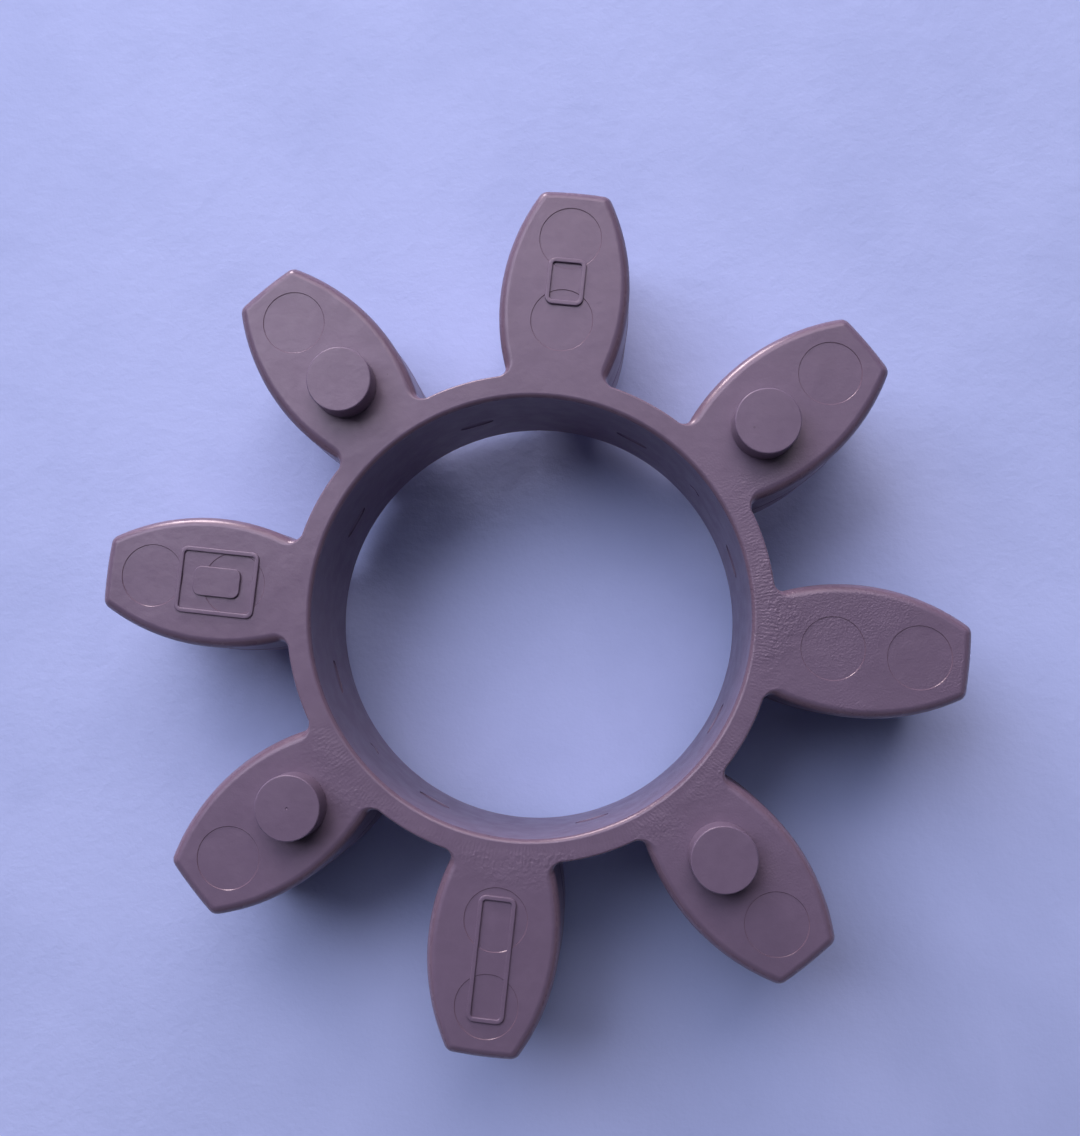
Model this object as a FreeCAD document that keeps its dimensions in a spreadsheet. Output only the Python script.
import FreeCAD, Part
import Sketcher
import math
import os

# The elastomer spider of a jaw coupling: one urethane moulding with a thin ring round an
# open bore, eight legs with bulging sides, and round spacer pads on alternate legs, four
# on each face.  The jaws of the two coupling hubs sit in the eight gaps between the legs.
# Frame: +Z along the bore, origin at the bore's centre half way through the ring, and
# leg_1 along +X.  Lengths are in millimetres.

DIMENSIONS = [
    ("bore_radius", 34.0, "open centre, clear of both shaft ends"),
    ("ring_radius", 38.0, "outside of the ring between the legs"),
    ("root_out", 39.6, "flat cut between the ring piece, with a leg's root, and the leg"),
    ("root_buried", 36.0, "a root starts this far out, inside the ring's wall"),
    ("outer_radius", 67.5, "leg tips, so 135 mm over the tips"),
    ("body_height", 26.0, "thickness of ring and legs"),
    ("leg_count", 8, "legs, evenly spaced"),
    ("leg_half_width", 10.27, "half the width of a leg where it is widest"),
    ("flank_radius", 33.0, "bulge of a leg's side, seen along the bore"),
    ("flank_centre_out", 50.0, "distance from the bore's axis to the widest place"),
    ("tip_corner", 1.8, "upright corners of a leg's tip"),
    ("leg_edge", 1.55, "rounded edge round a leg's two faces"),
    ("neck_fillet", 1.2, "inside corner between ring and leg"),
    ("ring_edge", 0.35, "outer edge of the ring and the necks"),
    ("bore_edge", 0.75, "rounded mouth of the bore, each end"),
    ("pad_radius", 5.1, "spacer pad"),
    ("pad_height", 4.2, "how far a pad stands above its leg's face"),
    ("pad_circle", 46.5, "radius of the circle of pad centres"),
    ("pad_edge", 0.25, "rounded rim of a pad"),
]

NEAR = 0.01
UP = FreeCAD.Vector(0, 0, 1)
CENTRE = FreeCAD.Vector(0, 0, 0)
START, END, MIDDLE = 1, 2, 3
ORIGIN_POINT = (-1, START)

doc = FreeCAD.newDocument("spider")


def make_sheet():
    """Write the driving dimensions into a sheet, each with an alias."""
    sheet = doc.addObject("Spreadsheet::Sheet", "dims")
    for row, (alias, value, note) in enumerate(DIMENSIONS, start=1):
        sheet.set(f"A{row}", f"'{note}")
        sheet.set(f"B{row}", str(value))
        sheet.setAlias(f"B{row}", alias)
    doc.recompute()
    return sheet


dims = make_sheet()


# ---------------------------------------------------------------- plane geometry

def circles_meet(centre_a, radius_a, centre_b, radius_b):
    """The upper one of the two points where two circles in the XY plane cross."""
    between = centre_b - centre_a
    apart = between.Length
    along = (apart ** 2 + radius_a ** 2 - radius_b ** 2) / (2 * apart)
    aside = math.sqrt(radius_a ** 2 - along ** 2)
    ahead = between / apart
    left = UP.cross(ahead)
    points = [centre_a + ahead * along + left * side for side in (aside, -aside)]
    return max(points, key=lambda point: point.y)


def towards(centre, target, radius):
    """The point of a circle that lies on the ray from its centre to a target."""
    return centre + (target - centre).normalize() * radius


def mirrored(point):
    """The same point on the other side of the leg's centre line."""
    return FreeCAD.Vector(point.x, -point.y, 0)


def arc(centre, start, end):
    """The arc that runs counter-clockwise about a centre from start to end."""
    ray_a = start - centre
    ray_b = end - centre
    circle = Part.Circle(centre, UP, ray_a.Length)
    return Part.ArcOfCircle(circle, math.atan2(ray_a.y, ray_a.x), math.atan2(ray_b.y, ray_b.x))


def flank_centre():
    """Centre of the arc that is the left side of leg_1."""
    return FreeCAD.Vector(dims.flank_centre_out, dims.leg_half_width - dims.flank_radius, 0)


def flank_at(out):
    """The point of leg_1's left side at a distance out from the bore's axis, along X."""
    centre = flank_centre()
    aside = math.sqrt(dims.flank_radius ** 2 - (out - centre.x) ** 2)
    return FreeCAD.Vector(out, centre.y + aside, 0)


# ---------------------------------------------------------------- sketches and features

def origin_feature(body, role):
    """A plane or axis of the body's own origin."""
    return next(item for item in body.Origin.OriginFeatures if item.Role == role)


def add_body(name):
    body = doc.addObject("PartDesign::Body", name)
    body.Label = name
    return body


def add_sketch(body, name):
    """An empty sketch on the body's XY plane."""
    sketch = body.newObject("Sketcher::SketchObject", name)
    sketch.AttachmentSupport = [(origin_feature(body, "XY_Plane"), "")]
    sketch.MapMode = "FlatFace"
    return sketch


def bind(sketch, name, expression, kind, *where):
    """Add a dimension to a sketch and drive it from the sheet."""
    value = sketch.evalExpression(expression)
    index = sketch.addConstraint(Sketcher.Constraint(kind, *where, float(value)))
    sketch.renameConstraint(index, name)
    sketch.setExpression(f"Constraints.{name}", expression)


def join(sketch, kind, *where):
    sketch.addConstraint(Sketcher.Constraint(kind, *where))


def about_axis(sketch, curve, name, alias):
    """Centre a round curve on the bore's axis, with its radius from the sheet."""
    join(sketch, "Coincident", curve, MIDDLE, *ORIGIN_POINT)
    bind(sketch, name, f"dims.{alias}", "Radius", curve)


def add_cut_line(sketch, name, alias, upper):
    """A line square across the leg, at a distance from the bore's axis given in the sheet."""
    line = sketch.addGeometry(Part.LineSegment(mirrored(upper), upper))
    join(sketch, "Vertical", line)
    bind(sketch, name, f"dims.{alias}", "DistanceX", *ORIGIN_POINT, line, START)
    return line


def hold_flanks(sketch, left, right):
    """Fix the two bulging sides of a leg."""
    aside = "dims.flank_radius - dims.leg_half_width"
    for curve, name in ((left, "left"), (right, "right")):
        bind(sketch, f"{name}_bulge", "dims.flank_radius", "Radius", curve)
        bind(sketch, f"{name}_out", "dims.flank_centre_out", "DistanceX",
             *ORIGIN_POINT, curve, MIDDLE)
    bind(sketch, "left_aside", aside, "DistanceY", left, MIDDLE, *ORIGIN_POINT)
    bind(sketch, "right_aside", aside, "DistanceY", *ORIGIN_POINT, right, MIDDLE)


def add_pad(body, sketch, name, height, symmetric=True):
    pad = body.newObject("PartDesign::Pad", name)
    pad.Profile = sketch
    pad.SideType = "Symmetric" if symmetric else "One side"
    pad.setExpression("Length", height)
    doc.recompute()
    return pad


def add_fillet(body, name, radius, chosen):
    """Round the edges of the body's present shape that a test picks out."""
    base = body.Tip
    edges = [f"Edge{number}" for number, edge in enumerate(base.Shape.Edges, start=1)
             if chosen(edge)]
    fillet = body.newObject("PartDesign::Fillet", name)
    fillet.Base = (base, edges)
    fillet.setExpression("Radius", radius)
    doc.recompute()
    return fillet


def middle_of(edge):
    return edge.valueAt((edge.FirstParameter + edge.LastParameter) / 2)


def distance_out(point):
    return math.hypot(point.x, point.y)


def is_upright(edge):
    box = edge.BoundBox
    return box.XLength < NEAR and box.YLength < NEAR


def is_cut(edge):
    """Whether an edge is part of the flat cut between a root and its leg, on any leg."""
    return edge.Curve.TypeId == "Part::GeomLine"


def on_face(edge):
    """Whether an edge lies in the upper or lower face of the moulding."""
    box = edge.BoundBox
    return box.ZLength < NEAR and abs(abs(box.ZMin) - dims.body_height / 2) < NEAR


def turn_to_leg(body, leg):
    """Swing a body drawn along +X round the bore to the numbered leg."""
    body.Placement = FreeCAD.Placement(CENTRE, FreeCAD.Rotation(UP, 360 / dims.leg_count))
    body.setExpression("Placement.Rotation.Angle", f"{leg - 1} * 360 deg / dims.leg_count")


# ---------------------------------------------------------------- ring

def draw_annulus(body):
    sketch = add_sketch(body, "annulus")
    inner = sketch.addGeometry(Part.Circle(CENTRE, UP, dims.bore_radius))
    outer = sketch.addGeometry(Part.Circle(CENTRE, UP, dims.ring_radius))
    about_axis(sketch, inner, "bore", "bore_radius")
    about_axis(sketch, outer, "outside", "ring_radius")
    return sketch


def draw_root(body):
    """Outline of one leg's root, from inside the ring's wall out to the flat cut."""
    left_centre = flank_centre()
    right_centre = mirrored(left_centre)
    buried = flank_at(dims.root_buried)
    cut = flank_at(dims.root_out)

    sketch = add_sketch(body, "root_outline")
    inner = add_cut_line(sketch, "buried", "root_buried", buried)
    outer = add_cut_line(sketch, "cut", "root_out", cut)
    left = sketch.addGeometry(arc(left_centre, cut, buried))
    right = sketch.addGeometry(arc(right_centre, mirrored(buried), mirrored(cut)))

    join(sketch, "Coincident", inner, END, left, END)
    join(sketch, "Coincident", left, START, outer, END)
    join(sketch, "Coincident", outer, START, right, END)
    join(sketch, "Coincident", right, START, inner, START)
    hold_flanks(sketch, left, right)
    return sketch


def build_ring():
    """The ring with the roots of its legs, the necks filleted and the bore's mouths round."""
    body = add_body("ring")
    add_pad(body, draw_annulus(body), "ring_wall", "dims.body_height")
    root = add_pad(body, draw_root(body), "leg_root", "dims.body_height")

    pattern = body.newObject("PartDesign::PolarPattern", "leg_roots")
    pattern.Originals = [root]
    pattern.Axis = (origin_feature(body, "Z_Axis"), [""])
    pattern.Angle = 360
    pattern.setExpression("Occurrences", "dims.leg_count")
    body.Tip = pattern
    doc.recompute()

    def in_neck(edge):
        return is_upright(edge) and abs(distance_out(middle_of(edge)) - dims.ring_radius) < NEAR

    def round_outside(edge):
        middle = middle_of(edge)
        outside = distance_out(middle) > dims.ring_radius - NEAR
        return on_face(edge) and outside and not is_cut(edge)

    def at_bore(edge):
        return on_face(edge) and abs(distance_out(middle_of(edge)) - dims.bore_radius) < NEAR

    add_fillet(body, "necks", "dims.neck_fillet", in_neck)
    add_fillet(body, "outer_edges", "dims.ring_edge", round_outside)
    add_fillet(body, "bore_mouths", "dims.bore_edge", at_bore)
    return body


# ---------------------------------------------------------------- legs

def draw_leg(body, number):
    """Outline of a leg from its root to its tip: two bulging sides and a curved tip."""
    left_centre = flank_centre()
    right_centre = mirrored(left_centre)
    corner_centre = circles_meet(CENTRE, dims.outer_radius - dims.tip_corner,
                                 left_centre, dims.flank_radius - dims.tip_corner)
    on_tip = towards(CENTRE, corner_centre, dims.outer_radius)
    on_flank = towards(left_centre, corner_centre, dims.flank_radius)
    cut = flank_at(dims.root_out)

    sketch = add_sketch(body, f"leg_outline_{number}")
    inner = add_cut_line(sketch, "cut", "root_out", cut)
    tip = sketch.addGeometry(arc(CENTRE, mirrored(on_tip), on_tip))
    left = sketch.addGeometry(arc(left_centre, on_flank, cut))
    right = sketch.addGeometry(arc(right_centre, mirrored(cut), mirrored(on_flank)))
    left_corner = sketch.addGeometry(arc(corner_centre, on_tip, on_flank))
    right_corner = sketch.addGeometry(
        arc(mirrored(corner_centre), mirrored(on_flank), mirrored(on_tip)))

    join(sketch, "Coincident", inner, END, left, END)
    join(sketch, "Coincident", inner, START, right, START)
    join(sketch, "Tangent", left, START, left_corner, END)
    join(sketch, "Tangent", left_corner, START, tip, END)
    join(sketch, "Tangent", tip, START, right_corner, END)
    join(sketch, "Tangent", right_corner, START, right, END)
    about_axis(sketch, tip, "tip", "outer_radius")
    hold_flanks(sketch, left, right)
    bind(sketch, "left_corner", "dims.tip_corner", "Radius", left_corner)
    bind(sketch, "right_corner", "dims.tip_corner", "Radius", right_corner)
    return sketch


def build_leg(number):
    body = add_body(f"leg_{number}")
    add_pad(body, draw_leg(body, number), f"leg_block_{number}", "dims.body_height")

    def round_faces(edge):
        return on_face(edge) and not is_cut(edge)

    add_fillet(body, f"leg_edges_{number}", "dims.leg_edge", round_faces)
    turn_to_leg(body, number)
    return body


# ---------------------------------------------------------------- spacer pads

def build_spacer_pad(side, number, leg):
    """A round pad on one leg: on the upper face if side is top, else on the lower."""
    name = f"spacer_pad_{side}_{number}"
    body = add_body(name)
    sketch = add_sketch(body, f"{name}_outline")
    middle = FreeCAD.Vector(dims.pad_circle, 0, 0)
    circle = sketch.addGeometry(Part.Circle(middle, UP, dims.pad_radius))
    join(sketch, "PointOnObject", circle, MIDDLE, -1)
    bind(sketch, "pad_radius", "dims.pad_radius", "Radius", circle)
    bind(sketch, "pad_out", "dims.pad_circle", "DistanceX", *ORIGIN_POINT, circle, MIDDLE)

    pad = add_pad(body, sketch, f"{name}_disc", "dims.pad_height", symmetric=False)
    pad.Reversed = side == "bottom"
    doc.recompute()

    def far_rim(edge):
        box = edge.BoundBox
        return box.ZLength < NEAR and abs(abs(box.ZMin) - dims.pad_height) < NEAR

    add_fillet(body, f"{name}_rim", "dims.pad_edge", far_rim)
    turn_to_leg(body, leg)
    sign = "" if side == "top" else "-"
    body.setExpression("Placement.Base.z", f"{sign}dims.body_height / 2")
    return body


# ---------------------------------------------------------------- assembly

def check(pieces):
    """Stop unless every feature recomputed and every piece is one valid solid."""
    for item in doc.Objects:
        if "Invalid" in item.State or "Error" in item.State:
            raise RuntimeError(f"{item.Name} failed: {item.State}")
    for body in pieces:
        shape = body.Shape
        if shape.isNull() or not shape.isValid() or len(shape.Solids) != 1:
            raise RuntimeError(f"{body.Label} isn't one valid solid")


def export(pieces):
    os.makedirs("parts", exist_ok=True)
    for body in pieces:
        body.Shape.exportStep(f"parts/{body.Label}.step")
        box = body.Shape.BoundBox
        print(f"{body.Label:22s} volume {body.Shape.Volume:10.1f}  "
              f"z {box.ZMin:7.2f} to {box.ZMax:6.2f}")


leg_numbers = range(1, int(dims.leg_count) + 1)
pieces = [build_ring()]
pieces += [build_leg(number) for number in leg_numbers]
pieces += [build_spacer_pad("top", count, leg)
           for count, leg in enumerate(leg_numbers[1::2], start=1)]
pieces += [build_spacer_pad("bottom", count, leg)
           for count, leg in enumerate(leg_numbers[0::2], start=1)]
doc.recompute()
check(pieces)
export(pieces)
